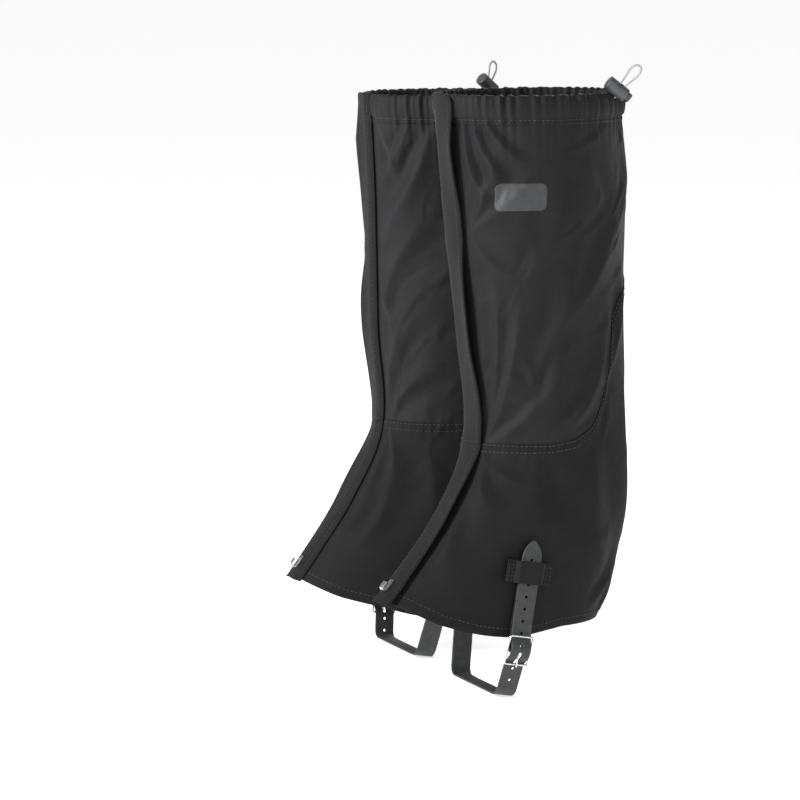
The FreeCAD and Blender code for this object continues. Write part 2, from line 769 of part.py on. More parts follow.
def buckle_prong():
    """An eye on the centre bar, and a pin that rests on the bottom bar."""
    eye = doc.addObject("Part::Cylinder", "prong_eye")
    eye.setExpression("Radius", "Sizes.bar_diameter / 2 + 1.2")
    eye.setExpression("Height", "Sizes.prong_eye_width")
    eye.Placement = FreeCAD.Placement(V(0, size("prong_eye_width") / 2, 0),
                                      FreeCAD.Rotation(V(1, 0, 0), 90))
    end = prong_end()
    pin = doc.addObject("Part::Cylinder", "prong_pin")
    pin.setExpression("Radius", "Sizes.prong_diameter / 2")
    pin.Height = end.Length + 1.6
    pin.Placement = FreeCAD.Placement(V(0, 0, 0), FreeCAD.Rotation(UP, end))
    joined = doc.addObject("Part::Fuse", "prong_solid")
    joined.Base = eye
    joined.Tool = pin
    hole = doc.addObject("Part::Cylinder", "prong_hole")
    hole.setExpression("Radius", "Sizes.bar_diameter / 2 + 0.1")
    hole.Height = 20.0
    hole.Placement = FreeCAD.Placement(V(0, 10.0, 0), FreeCAD.Rotation(V(1, 0, 0), 90))
    prong = doc.addObject("Part::Cut", "buckle_prong")
    prong.Base = joined
    prong.Tool = hole
    place_both("buckle_prong", prong, buckle_bar_frame())


def chape():
    """The webbing that is sewn to the shell and holds the buckle by its centre bar."""
    body = new_body("chape")
    side = sketch_on(body, "XZ_Plane", "chape_side")
    route = [V(51.5, 96.0, 0), V(51.6, 62.0, 0), V(BUCKLE.x - 1.2, BUCKLE.z + 1.9, 0)]
    side.addGeometry(band_outline(route, [14.0], size("chape_thickness")), False)
    pad(body, side, "chape_band", "Sizes.strap_width")
    doc.recompute()
    fold = sketch_on(body, "XZ_Plane", "fold_section")
    circle(fold, BUCKLE.x, BUCKLE.z, size("bar_diameter") / 2 + 1.3)
    pad(body, fold, "fold", "Sizes.strap_width")
    bore = sketch_on(body, "XZ_Plane", "bar_hole")
    circle(bore, BUCKLE.x, BUCKLE.z, size("bar_diameter") / 2 + 0.1)
    pocket(body, bore, "bar_way", 60.0, both_ways=True)
    gap = sketch_on(body, "YZ_Plane", "prong_gap")
    half = size("prong_eye_width") / 2 + 0.5
    polygon(gap, [(-half, BUCKLE.z - 6), (half, BUCKLE.z - 6), (half, BUCKLE.z + 5.0),
                  (-half, BUCKLE.z + 5.0)])
    pocket(body, gap, "prong_way", 80.0, reverse=True)
    place_both("chape", body, strap_frame())


def strap_keeper():
    """A fabric band over the strap, flat on the shell at both ends."""
    body = new_body("strap_keeper")
    base = 51.3
    crown = 54.9
    thick = 1.0
    profile = sketch_on(body, "XY_Plane", "keeper_section")
    outer = [(base + thick, -20.5), (base + thick, -13.5), (crown + thick, -10.4)]
    inner = [(crown, -9.9), (base, -13.0), (base, -20.5)]
    mirror = [(x, -y) for x, y in outer[::-1]]
    mirror_inner = [(x, -y) for x, y in inner[::-1]]
    polygon(profile, outer + mirror + mirror_inner + inner)
    middle = 105.0
    lift = middle - size("keeper_height") / 2
    profile.AttachmentOffset = FreeCAD.Placement(V(0, 0, lift), FreeCAD.Rotation())
    pad(body, profile, "keeper_band", "Sizes.keeper_height", both_ways=False)
    place_both("strap_keeper", body, strap_frame())


def strap_rivets():
    """Two flat rivets that hold the strap's inner end to the shell, one above the other."""
    heads = []
    for index, height in enumerate((78.0, 92.0)):
        head = doc.addObject("Part::Cylinder", "strap_rivet_%d" % index)
        head.setExpression("Radius", "Sizes.rivet_diameter / 2")
        head.setExpression("Height", "Sizes.rivet_height")
        foot = -57.2 - size("strap_thickness") / 2 - 0.05
        head.Placement = FreeCAD.Placement(V(foot, 0, height), FreeCAD.Rotation(V(0, 1, 0), -90))
        heads.append(head)
    group = doc.addObject("Part::Compound", "strap_rivets")
    group.Links = heads
    place_both("strap_rivets", group, strap_frame())


# ---------------------------------------------------------------- lace hook

def front_frame(side):
    """A frame on the lower flap's face near its foot: x across, y into the leg, z up the flap."""
    height = size(side + "_tip_height") + 9.5
    below = leg_point(side, 0.0, height - 1.0, FLAP_FACES[1])
    above = leg_point(side, 0.0, height + 1.0, FLAP_FACES[1])
    up = (above - below).normalize()
    into = up.cross(V(1, 0, 0)).normalize()
    face = (below + above) / 2 + V(1.0, 0, 0) - into * 0.45
    turn = FreeCAD.Rotation(V(1, 0, 0), into, up, "XZY")
    return FreeCAD.Placement(face, turn)


def lace_hook(side):
    """A stamped hook: a flat tongue on the flap that curls forward and up."""
    body = new_body(side + "_lace_hook")
    strip = sketch_on(body, "YZ_Plane", side + "_hook_side")
    route = [V(-0.6, 7.0, 0), V(-0.6, -5.0, 0), V(-5.2, -5.0, 0), V(-5.2, 1.6, 0)]
    strip.addGeometry(band_outline(route, [2.2, 2.2], 1.0), False)
    pad(body, strip, side + "_hook_strip", "Sizes.hook_width")
    place_side(side, "lace_hook", body, leg_frame() * front_frame(side))
    rivet = doc.addObject("Part::Cylinder", side + "_lace_hook_rivet")
    rivet.Radius = 1.9
    rivet.Height = 1.0
    at = front_frame(side) * FreeCAD.Placement(V(0, -1.15, 4.2), FreeCAD.Rotation(V(1, 0, 0), 90))
    place_side(side, "lace_hook_rivet", rivet, leg_frame() * at)


# ---------------------------------------------------------------- assembly

def build():
    for side in ("left", "right"):
        panels(side)
        hem_facing(side)
        front_closure(side)
        reflective_patch(side)
        lace_hook(side)
        top_casing(side)
        drawcord(side)
        instep_strap(side)
    cord_loop()
    cord_lock_body()
    cord_lock_button()
    cord_lock_spring()
    buckle_frame()
    buckle_prong()
    chape()
    strap_keeper()
    strap_rivets()
    doc.recompute()


def check():
    """Every object has to be up to date, and every piece a valid shape with volume."""
    for thing in doc.Objects:
        for word in ("Invalid", "Error"):
            if word in thing.State:
                raise RuntimeError("%s is %s" % (thing.Label, thing.State))
    for piece in PIECES:
        shape = piece.Shape
        if shape.isNull() or not shape.isValid() or shape.Volume <= 0:
            raise RuntimeError(piece.Label + " has no valid solid")


def write():
    os.makedirs("parts", exist_ok=True)
    for piece in PIECES:
        piece.Shape.exportStep("parts/%s.step" % piece.Label)
        box = piece.Shape.BoundBox
        print("%-28s x %7.1f %7.1f  y %7.1f %7.1f  z %7.1f %7.1f  volume %9.1f"
              % (piece.Label, box.XMin, box.XMax, box.YMin, box.YMax, box.ZMin, box.ZMax,
                 piece.Shape.Volume))


build()
check()
write()
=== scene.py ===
import math
import bpy
import numpy as np
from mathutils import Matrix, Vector


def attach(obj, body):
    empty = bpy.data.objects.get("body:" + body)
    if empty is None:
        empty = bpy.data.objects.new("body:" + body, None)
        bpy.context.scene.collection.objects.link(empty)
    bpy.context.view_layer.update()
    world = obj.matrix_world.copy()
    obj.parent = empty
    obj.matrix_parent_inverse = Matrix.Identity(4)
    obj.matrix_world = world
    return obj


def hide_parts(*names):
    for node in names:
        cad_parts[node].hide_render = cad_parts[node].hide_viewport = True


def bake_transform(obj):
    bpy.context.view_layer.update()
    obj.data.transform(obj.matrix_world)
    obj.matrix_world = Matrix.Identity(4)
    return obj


# The looks of a pair of knee-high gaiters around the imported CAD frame.
# Cloth is laid out in millimetres in each leg's own frame: an angle runs round the leg from
# its front towards its outer side, and a height runs up from the ground.  "Grow" is how far
# a point stands off the leg's surface.  Everything ends up in metres in the row frame.

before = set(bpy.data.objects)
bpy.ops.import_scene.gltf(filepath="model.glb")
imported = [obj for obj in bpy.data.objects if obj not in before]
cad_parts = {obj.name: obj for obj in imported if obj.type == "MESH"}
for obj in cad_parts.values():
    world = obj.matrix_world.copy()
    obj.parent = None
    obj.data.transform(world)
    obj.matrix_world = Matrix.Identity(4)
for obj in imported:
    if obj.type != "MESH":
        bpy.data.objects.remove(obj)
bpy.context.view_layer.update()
SIDES = ("left", "right")
MM = 0.001

# ---------------------------------------------------------------- the leg's surface

TOE_OUT = math.radians(8.0)
LEG_OFFSET = 78.0
# Height, front of the left leg, front of the right leg, rear, half width, widest place.
LEG_SECTIONS = np.array([
    (36.0, -205.0, -180.0, 53.0, 50.0, -8.0),
    (62.0, -165.0, -150.0, 67.0, 51.0, -2.0),
    (96.0, -126.0, -124.0, 82.0, 51.5, 5.0),
    (146.0, -82.5, -90.0, 92.0, 53.0, 12.0),
    (206.0, -53.0, -63.5, 92.0, 55.0, 15.0),
    (290.0, -59.0, -67.5, 88.0, 57.0, 10.0),
    (402.0, -73.0, -69.5, 88.0, 60.0, 5.0),
    (494.0, -81.5, -74.0, 82.0, 62.0, 0.0),
])
FRONT_COLUMN = {"left": 1, "right": 2}
DROP = {"left": 0.0, "right": 8.0}  # how much lower the gaiter is worn
TIP_HEIGHT = {"left": 84.0, "right": 79.0}
RIM = 488.0
CASING_FOOT = 468.0
SEAM = {"left": 203.0, "right": 208.0}
CALF_TOP = 338.0
FLAP_SPLIT = {"left": 206.5, "right": 211.5}
MM_PER_DEGREE = 1.13  # round the leg


def section_value(column, height):
    """One column of the sections at an array of heights, by smooth interpolation."""
    heights = LEG_SECTIONS[:, 0]
    values = LEG_SECTIONS[:, column]
    slopes = np.empty(len(values))
    slopes[1:-1] = (values[2:] - values[:-2]) / (heights[2:] - heights[:-2])
    slopes[0] = (values[1] - values[0]) / (heights[1] - heights[0])
    slopes[-1] = (values[-1] - values[-2]) / (heights[-1] - heights[-2])
    index = np.clip(np.searchsorted(heights, height) - 1, 0, len(values) - 2)
    span = heights[index + 1] - heights[index]
    t = (height - heights[index]) / span
    start = slopes[index] * span
    end = slopes[index + 1] * span
    step = values[index + 1] - values[index]
    curve = t * (3 * step - 2 * start - end + t * (start + end - 2 * step))
    return values[index] + t * (start + curve)


def leg_shape(side, height):
    return [section_value(column, height) for column in (FRONT_COLUMN[side], 3, 4, 5)]


def leg_surface(side, angle, height, grow):
    """Leg-frame x and y at an angle in degrees, for arrays of angle, height and grow."""
    front, rear, half_width, widest = leg_shape(side, height)
    turn = np.radians(angle)
    reach = np.where(np.cos(turn) > 0, widest - front, rear - widest) + grow
    return (half_width + grow) * np.sin(turn), widest - reach * np.cos(turn)


def front_angle(side, x, height, grow):
    """The angle at which the surface has a given leg-frame x, near the front."""
    half_width = section_value(4, height) + grow
    return np.degrees(np.arcsin(np.clip(x / half_width, -1, 1)))


def to_row(side, x, y, z):
    """Leg-frame millimetres to row-frame metres; the right leg is the left one mirrored."""
    row_x = x * math.cos(TOE_OUT) - y * math.sin(TOE_OUT) + LEG_OFFSET
    row_y = x * math.sin(TOE_OUT) + y * math.cos(TOE_OUT)
    if side == "right":
        row_x = -row_x
    return np.stack([row_x, row_y, z - DROP[side] + 0 * row_x], axis=-1) * MM


def hem_height(side, y):
    tip = TIP_HEIGHT[side]
    line = [(-260.0, tip + 57.0), (-140.0, tip), (-108.0, 0.36 * tip + 0.64 * 56.0),
            (-76.0, 56.0), (-40.0, 50.0), (0.0, 56.0), (100.0, 55.0)]
    return np.interp(y, [p[0] for p in line], [p[1] for p in line])


def seam_height(side, y):
    """The top of the heavy fabric, which climbs behind the calf."""
    seam = SEAM[side]
    line = [(-260.0, seam), (-8.0, seam), (12.0, seam + 3.0), (28.0, seam + 12.0),
            (38.0, seam + 26.0), (44.0, seam + 43.0), (50.0, seam + 80.0),
            (55.0, CALF_TOP - 32.0), (62.0, CALF_TOP - 18.0), (75.0, CALF_TOP - 7.0),
            (95.0, CALF_TOP)]
    return np.interp(y, [p[0] for p in line], [p[1] for p in line])


def crossing(side, angle, line, low=30.0, high=480.0):
    """The height at which the surface, at each angle, meets a line of the side view."""
    low = np.full(len(angle), low)
    high = np.full(len(angle), high)
    for step in range(26):
        middle = (low + high) / 2
        y = leg_surface(side, angle, middle, 0.0)[1]
        above = middle > line(y)
        high = np.where(above, middle, high)
        low = np.where(above, low, middle)
    return (low + high) / 2


def smooth_row(values, passes):
    """Soften a row of values without moving its ends."""
    out = values.copy()
    for step in range(passes):
        out[1:-1] = (out[:-2] + 2 * out[1:-1] + out[2:]) / 4
    return out


def hem_row(side, angle):
    return smooth_row(crossing(side, angle, lambda y: hem_height(side, y), 30.0, 170.0), 30)


def seam_row(side, angle):
    return smooth_row(crossing(side, angle, lambda y: seam_height(side, y)), 4)


# ---------------------------------------------------------------- folds in the cloth

# Each fold: start angle and height, end angle and height, half width, how proud it stands.
FOLDS = {
    "left": [
        (15, 205, 52, 322, 6.0, 2.3), (14, 208, 34, 345, 5.0, 1.7), (16, 203, 78, 262, 6.5, 1.8),
        (17, 380, 44, 452, 5.5, 1.9), (17, 378, 66, 428, 6.0, 1.5), (17, 376, 50, 342, 6.0, 1.3),
        (20, 470, 32, 405, 4.0, 2.2), (27, 470, 46, 420, 4.5, 2.0), (36, 470, 60, 436, 4.5, 1.6),
        (58, 262, 92, 352, 9.0, 1.9), (84, 218, 118, 300, 8.0, 2.0), (96, 322, 132, 424, 10.0, 1.9),
        (64, 350, 86, 418, 10.0, 1.5), (116, 262, 139, 342, 7.0, 1.8), (70, 215, 96, 240, 6.0, 1.3),
        (128, 380, 150, 455, 9.0, 1.6), (101, 442, 116, 394, 7.0, 1.2), (80, 300, 60, 230, 7.0, -1.2),
        (14, 200, 44, 150, 7.0, 2.0), (17, 196, 66, 172, 7.0, 1.5), (13, 158, 44, 96, 9.0, 1.7),
        (60, 196, 84, 118, 12.0, 1.7), (104, 196, 122, 96, 13.0, 2.0), (140, 250, 150, 120, 14.0, 1.9),
        (120, 70, 150, 110, 9.0, 1.6), (138, 60, 162, 92, 8.0, 1.7),
    ],
    "right": [
        (-62, 458, -22, 372, 10.0, 3.0), (-48, 470, -16, 408, 6.0, 1.6), (-18, 470, -36, 420, 5.0, 1.5),
        (-15, 214, -44, 300, 7.0, 1.8), (-16, 208, -62, 262, 7.0, 1.6), (-20, 300, -52, 380, 8.0, 1.8),
        (-14, 340, -34, 262, 6.0, 1.3), (-24, 204, -40, 152, 6.0, 2.2), (-40, 152, -38, 104, 7.0, 1.4),
        (-14, 196, -22, 118, 7.0, 1.7), (-56, 190, -70, 110, 11.0, 1.8), (-90, 440, -70, 330, 12.0, 1.8),
        (40, 240, 78, 330, 9.0, 1.8), (60, 360, 96, 440, 10.0, 1.7), (110, 250, 132, 350, 10.0, 1.7),
        (60, 190, 90, 110, 12.0, 1.7), (20, 200, 48, 140, 8.0, 1.7), (140, 240, 150, 120, 14.0, 1.8),
    ],
}
SMALL_FOLDS = 150
PINCHES = {"left": (380.0, 205.0), "right": (360.0, 209.0)}
FOLD_STRENGTH = 1.7


def wrap(degrees):
    return (degrees + 180.0) % 360.0 - 180.0


def one_fold(angle, height, fold):
    """A ridge with a soft valley along one side, fading at both ends."""
    a0, z0, a1, z1, width, proud = fold
    along_a = wrap(a1 - a0) * MM_PER_DEGREE
    along_z = z1 - z0
    length = math.hypot(along_a, along_z)
    da = wrap(angle - a0) * MM_PER_DEGREE
    dz = height - z0
    along = (da * along_a + dz * along_z) / length
    bend = 0.06 * length * np.sin(np.pi * np.clip(along / length, 0, 1))
    across = (dz * along_a - da * along_z) / length + bend
    t = np.clip(along / length, 0, 1)
    spread = width * (0.55 + 0.7 * t)
    fade = np.sin(np.pi * np.clip((along + 0.08 * length) / (1.16 * length), 0, 1)) ** 0.9
    ridge = np.exp(-np.abs(across / spread) ** 1.5)
    valley = np.exp(-((across - 1.5 * spread) / (1.1 * spread)) ** 2)
    return proud * fade * (ridge - 0.65 * valley)


def small_folds(side):
    """Many weak creases that mostly rise towards the rear, the same on every run."""
    random = np.random.RandomState(11 if side == "left" else 23)
    folds = []
    for index in range(SMALL_FOLDS):
        angle = random.uniform(-180, 180)
        height = random.uniform(70, 470)
        direction = math.radians(random.normal(62, 20)) * (1 if angle > 0 else -1)
        if angle < 0:
            direction += math.pi
        length = random.uniform(16, 52)
        da = length * math.cos(direction) / MM_PER_DEGREE
        dz = length * abs(math.sin(direction))
        light = height > SEAM[side]
        proud = random.uniform(0.18, 0.62) * (1.0 if light else 0.55)
        width = random.uniform(2.2, 5.0) * (1.0 if light else 1.5)
        folds.append((angle, height, angle + da, height + dz, width, proud))
    return folds


ALL_FOLDS = {side: FOLDS[side] + small_folds(side) for side in SIDES}


def gathers(angle):
    """The uneven small pleats that the drawcord pulls the rim into, from about -1 to 1."""
    turn = np.radians(angle)
    drift = 1.3 * np.sin(2 * turn + 0.4) + 0.8 * np.sin(5 * turn + 1.1)
    first = np.sin(47 * turn + 3.0 * drift)
    second = np.sin(71 * turn - 2.0 * drift + 0.7)
    strength = 0.72 + 0.28 * np.sin(7 * turn + 2.0)
    return (0.62 * first + 0.38 * second) * strength


def near_strap(side, angle, height):
    """1 where the buckle's webbing and the keeper lie on the cloth, 0 away from them."""
    y = leg_surface(side, angle, height, 0.0)[1]
    centre = -41.6 + (height - 41.5) * 0.17
    aside = np.clip((np.abs(y - centre) - 22.0) / 14.0, 0, 1)
    above = np.clip((height - 122.0) / 22.0, 0, 1)
    outer = (angle > 0) & (angle < 180)
    return np.where(outer, (1 - aside) * (1 - above), 0.0)


def near_front(side, angle, height):
    """1 under the flap and its tapes, 0 away from them."""
    x = leg_surface(side, angle, height, 0.0)[0]
    facing = np.abs(angle) < 90
    return np.where(facing, 1 - np.clip((np.abs(x) - 13.0) / 9.0, 0, 1), 0.0)


def relief(side, angle, height):
    """How far the cloth stands off its plain surface, in millimetres."""
    angle, height = np.broadcast_arrays(np.asarray(angle, float), np.asarray(height, float))
    angle = wrap(angle)
    total = np.zeros(angle.shape)
    for fold in ALL_FOLDS[side]:
        total += FOLD_STRENGTH * one_fold(angle, height, fold)
    below_rim = np.clip(RIM - height, 0, None)
    total += 1.6 * gathers(angle) * np.exp(-np.clip(below_rim - 14.0, 0, None) / 15.0)
    turn = np.radians(angle)
    total += 0.8 * np.sin(3 * turn + height / 38.0) * np.sin(height / 47.0 + 1.0)
    puckers = np.sin(np.radians(angle) * 52 + 2.0 * np.sin(5 * turn))
    above_seam = height - seam_height(side, leg_surface(side, angle, height, 0.0)[1])
    total += 0.22 * puckers * np.exp(-(above_seam / 9.0) ** 2)
    total = np.clip(total, -5.0, 5.4)
    total *= 1 - 0.95 * near_strap(side, angle, height)
    total *= 1 - 0.92 * near_front(side, angle, height)
    return total


def cloth_point(side, angle, height, grow):
    """A row-frame point that stands grow off the folded cloth."""
    x, y = leg_surface(side, angle, height, grow + relief(side, angle, height))
    return to_row(side, x, y, height)


# ---------------------------------------------------------------- materials

def new_material(name):
    material = bpy.data.materials.new(name)
    material.use_nodes = True
    tree = material.node_tree
    shader = tree.nodes["Principled BSDF"]
    return material, tree, shader


def node(tree, kind, **settings):
    made = tree.nodes.new(kind)
    for key, value in settings.items():
        setattr(made, key, value)
    return made


def maths(tree, operation, first, second):
    made = node(tree, "ShaderNodeMath", operation=operation)
    for slot, value in enumerate((first, second)):
        if isinstance(value, (int, float)):
            made.inputs[slot].default_value = value
        else:
            tree.links.new(value, made.inputs[slot])
    return made.outputs[0]


def coordinates(tree, uses_uv, stretch=(1, 1, 1)):
    """UV is in millimetres along the cloth; object coordinates are turned into millimetres."""
    source = node(tree, "ShaderNodeTexCoord")
    scale = node(tree, "ShaderNodeMapping")
    factor = 1.0 if uses_uv else 1000.0
    scale.inputs["Scale"].default_value = [factor * s for s in stretch]
    tree.links.new(source.outputs["UV" if uses_uv else "Object"], scale.inputs["Vector"])
    return scale.outputs["Vector"]


def noise(tree, vector, scale, detail=4.0, roughness=0.6):
    made = node(tree, "ShaderNodeTexNoise")
    made.inputs["Scale"].default_value = scale
    made.inputs["Detail"].default_value = detail
    made.inputs["Roughness"].default_value = roughness
    tree.links.new(vector, made.inputs["Vector"])
    return made.outputs["Fac"]


def threads(tree, vector, direction, pitch):
    """Parallel threads: a wave whose period is the pitch in millimetres."""
    made = node(tree, "ShaderNodeTexWave", bands_direction=direction)
    made.inputs["Scale"].default_value = math.pi / 10.0 / pitch
    made.inputs["Distortion"].default_value = 0.25
    made.inputs["Detail"].default_value = 1.0
    tree.links.new(vector, made.inputs["Vector"])
    return made.outputs["Fac"]


def ramp_colour(tree, value, low, high, dark, light):
    made = node(tree, "ShaderNodeValToRGB")
    made.color_ramp.elements[0].position = low
    made.color_ramp.elements[1].position = high
    made.color_ramp.elements[0].color = (*dark, 1)
    made.color_ramp.elements[1].color = (*light, 1)
    tree.links.new(value, made.inputs["Fac"])
    return made.outputs["Color"]


def bump(tree, height, strength, distance, below=None):
    made = node(tree, "ShaderNodeBump")
    made.inputs["Strength"].default_value = strength
    made.inputs["Distance"].default_value = distance
    tree.links.new(height, made.inputs["Height"])
    if below is not None:
        tree.links.new(below, made.inputs["Normal"])
    return made.outputs["Normal"]


def woven(name, dark, light, roughness, pitch, depth, slub, sheen, uses_uv=True):
    """Woven cloth: crossing threads, uneven yarn, soft colour drift and a little sheen."""
    material, tree, shader = new_material(name)
    vector = coordinates(tree, uses_uv)
    warp = threads(tree, vector, "X", pitch)
    weft = threads(tree, vector, "Y" if uses_uv else "Z", pitch * 1.1)
    weave = maths(tree, "MAXIMUM", warp, weft)
    yarn = noise(tree, coordinates(tree, uses_uv, (0.12, 1.5, 1.5)), 0.9, 3.0, 0.65)
    drift = noise(tree, vector, 0.035, 4.0, 0.6)
    yarn_part = maths(tree, "MULTIPLY", yarn, slub)
    drift_part = maths(tree, "MULTIPLY", drift, 1 - slub)
    mixed = maths(tree, "ADD", yarn_part, drift_part)
    weave_part = maths(tree, "MULTIPLY", weave, 0.22)
    tint = maths(tree, "ADD", weave_part, maths(tree, "MULTIPLY", mixed, 0.78))
    colour = ramp_colour(tree, tint, 0.30, 0.72, dark, light)
    tree.links.new(colour, shader.inputs["Base Color"])
    rough = maths(tree, "ADD", maths(tree, "MULTIPLY", mixed, 0.16), roughness - 0.08)
    tree.links.new(rough, shader.inputs["Roughness"])
    crinkle = bump(tree, noise(tree, vector, 0.16, 5.0, 0.62), 0.35, 0.0012)
    yarns = bump(tree, yarn, 0.25 + slub * 0.5, 0.00018, crinkle)
    tree.links.new(bump(tree, weave, 0.8, depth, yarns), shader.inputs["Normal"])
    shader.inputs["Sheen Weight"].default_value = sheen
    shader.inputs["Sheen Roughness"].default_value = 0.45
    shader.inputs["Specular IOR Level"].default_value = 0.18
    return material


def moulded(name, dark, light, roughness, grain, depth):
    """Moulded or coated surface with a fine pebbled grain and slight wear."""
    material, tree, shader = new_material(name)
    vector = coordinates(tree, False)
    cells = node(tree, "ShaderNodeTexVoronoi", feature="SMOOTH_F1")
    cells.inputs["Scale"].default_value = 1.0 / grain
    tree.links.new(vector, cells.inputs["Vector"])
    wear = noise(tree, vector, 0.22, 5.0, 0.65)
    tree.links.new(ramp_colour(tree, wear, 0.3, 0.75, dark, light), shader.inputs["Base Color"])
    rough = maths(tree, "ADD", maths(tree, "MULTIPLY", wear, 0.18), roughness - 0.09)
    tree.links.new(rough, shader.inputs["Roughness"])
    tree.links.new(bump(tree, cells.outputs["Distance"], 0.6, depth), shader.inputs["Normal"])
    return material


def plated(name, dark, light, roughness):
    """Plated metal with fine drawn scratches and dull patches."""
    material, tree, shader = new_material(name)
    vector = coordinates(tree, False)
    scratches = noise(tree, coordinates(tree, False, (6.0, 0.6, 0.6)), 1.4, 4.0, 0.7)
    patches = noise(tree, vector, 0.5, 3.0, 0.6)
    tree.links.new(ramp_colour(tree, patches, 0.3, 0.7, dark, light), shader.inputs["Base Color"])
    rough = maths(tree, "ADD", maths(tree, "MULTIPLY", scratches, 0.24), roughness - 0.1)
    tree.links.new(rough, shader.inputs["Roughness"])
    tree.links.new(bump(tree, scratches, 0.25, 0.00004), shader.inputs["Normal"])
    shader.inputs["Metallic"].default_value = 1.0
    return material


def braided(name, dark, light, pitch):
    """Braided elastic: two sets of slanted strands."""
    material, tree, shader = new_material(name)
    vector = coordinates(tree, False)
    strands = [threads(tree, vector, "DIAGONAL", pitch)]
    strands.append(threads(tree, coordinates(tree, False, (1, 1, -1)), "DIAGONAL", pitch))
    braid = maths(tree, "MAXIMUM", strands[0], strands[1])
    tree.links.new(ramp_colour(tree, braid, 0.2, 0.9, dark, light), shader.inputs["Base Color"])
    tree.links.new(bump(tree, braid, 0.8, 0.00015), shader.inputs["Normal"])
    shader.inputs["Roughness"].default_value = 0.78
    shader.inputs["Sheen Weight"].default_value = 0.25
    return material


def all_materials():
    made = {
        "light_fabric": woven("light_nylon", (0.0048, 0.0048, 0.0054), (0.0150, 0.0150, 0.0163),
                              0.62, 0.42, 0.00006, 0.45, 0.05),
        "heavy_fabric": woven("heavy_nylon", (0.0038, 0.0038, 0.0042), (0.0105, 0.0105, 0.0115),
                              0.72, 0.75, 0.00014, 0.25, 0.04),
        "heavy_solid": woven("heavy_nylon_folded", (0.0045, 0.0045, 0.0050), (0.0125, 0.0125, 0.0135),
                             0.72, 0.75, 0.00014, 0.25, 0.04, uses_uv=False),
        "flap_fabric": woven("flap_nylon", (0.0030, 0.0030, 0.0034), (0.0085, 0.0085, 0.0094),
                              0.70, 0.48, 0.00008, 0.35, 0.05),
        "closure_tape": woven("closure_pile", (0.0022, 0.0022, 0.0025), (0.006, 0.006, 0.0065),
                              0.95, 0.9, 0.00035, 0.3, 0.02),
        "webbing": woven("webbing_weave", (0.0065, 0.0065, 0.007), (0.019, 0.019, 0.021),
                         0.74, 0.9, 0.00022, 0.3, 0.06, uses_uv=False),
        "thread": braided("sewing_thread", (0.008, 0.008, 0.009), (0.030, 0.030, 0.032), 0.35),
        "elastic_cord": braided("elastic_braid", (0.16, 0.16, 0.165), (0.44, 0.44, 0.45), 0.55),
        "strap_rubber": moulded("coated_strap", (0.019, 0.0195, 0.0205), (0.046, 0.0475, 0.050),
                                0.58, 0.42, 0.00007),
        "lock_plastic": moulded("lock_nylon", (0.035, 0.036, 0.038), (0.085, 0.087, 0.09),
                                0.42, 0.30, 0.00003),
        "buckle_metal": plated("nickel_wire", (0.52, 0.52, 0.53), (0.80, 0.80, 0.81), 0.24),
        "hook_metal": plated("nickel_plate", (0.34, 0.34, 0.34), (0.62, 0.61, 0.60), 0.30),
        "spring_steel": plated("spring_wire", (0.40, 0.40, 0.41), (0.62, 0.62, 0.63), 0.30),
        "patch_print": moulded("reflective_print", (0.026, 0.027, 0.028), (0.048, 0.049, 0.051),
                               0.62, 0.22, 0.00002),
    }
    return made


MATERIALS = all_materials()


# ---------------------------------------------------------------- making pieces

def new_object(name, vertices, faces, material, uv=None, smooth=True):
    """uv, in millimetres, has one pair for each vertex."""
    mesh = bpy.data.meshes.new(name)
    mesh.from_pydata([tuple(v) for v in vertices], [], faces)
    mesh.materials.append(MATERIALS[material])
    mesh.polygons.foreach_set("use_smooth", [smooth] * len(mesh.polygons))
    if uv is not None:
        layer = mesh.uv_layers.new(name="cloth")
        corners = np.empty(len(mesh.loops), int)
        mesh.loops.foreach_get("vertex_index", corners)
        layer.data.foreach_set("uv", np.asarray(uv, float)[corners].ravel())
    mesh.update()
    thing = bpy.data.objects.new(name, mesh)
    bpy.context.scene.collection.objects.link(thing)
    return thing


def grid_faces(rows, columns, close_rows=False, flip=False):
    """Quads of a grid whose vertices run row by row."""
    faces = []
    for row in range(rows if close_rows else rows - 1):
        above = (row + 1) % rows
        for column in range(columns - 1):
            quad = (row * columns + column, row * columns + column + 1,
                    above * columns + column + 1, above * columns + column)
            faces.append(quad[::-1] if flip else quad)
    return faces


def face_outwards(thing, side):
    """Turn the faces so that they point away from the leg's middle."""
    mesh = thing.data
    centre = to_row(side, np.array(0.0), np.array(0.0), np.array(300.0))
    total = 0.0
    for polygon in mesh.polygons:
        away = Vector((polygon.center.x - centre[0], polygon.center.y - centre[1], 0))
        total += polygon.normal.dot(away) * polygon.area
    if total < 0:
        mesh.flip_normals()


def thicken(thing, thickness):
    """Give cloth its thickness, inwards, as a solidify modifier."""
    layer = thing.modifiers.new("thickness", "SOLIDIFY")
    layer.thickness = thickness * MM
    layer.offset = -1.0
    layer.use_rim = True


def cloth_panel(name, side, angles, low, high, rows, grow, material, thickness):
    """A sheet between two rows of heights that follows the folds."""
    share = np.linspace(0, 1, rows)[:, None]
    heights = low[None, :] + (high - low)[None, :] * share
    wide = np.broadcast_to(angles[None, :], heights.shape)
    stand = np.broadcast_to(grow, heights.shape) if np.isscalar(grow) else grow(wide, heights)
    points = cloth_point(side, wide, heights, stand).reshape(-1, 3)
    uv = np.stack([wide.ravel() * MM_PER_DEGREE, heights.ravel()], axis=1)
    thing = new_object(name, points, grid_faces(rows, len(angles)), material, uv)
    face_outwards(thing, side)
    thicken(thing, thickness)
    return thing


def finish_piece(thing, body, slot, *replaced):
    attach(thing, body)
    if replaced:
        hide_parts(*replaced)
    return thing


# ---------------------------------------------------------------- camera and cords

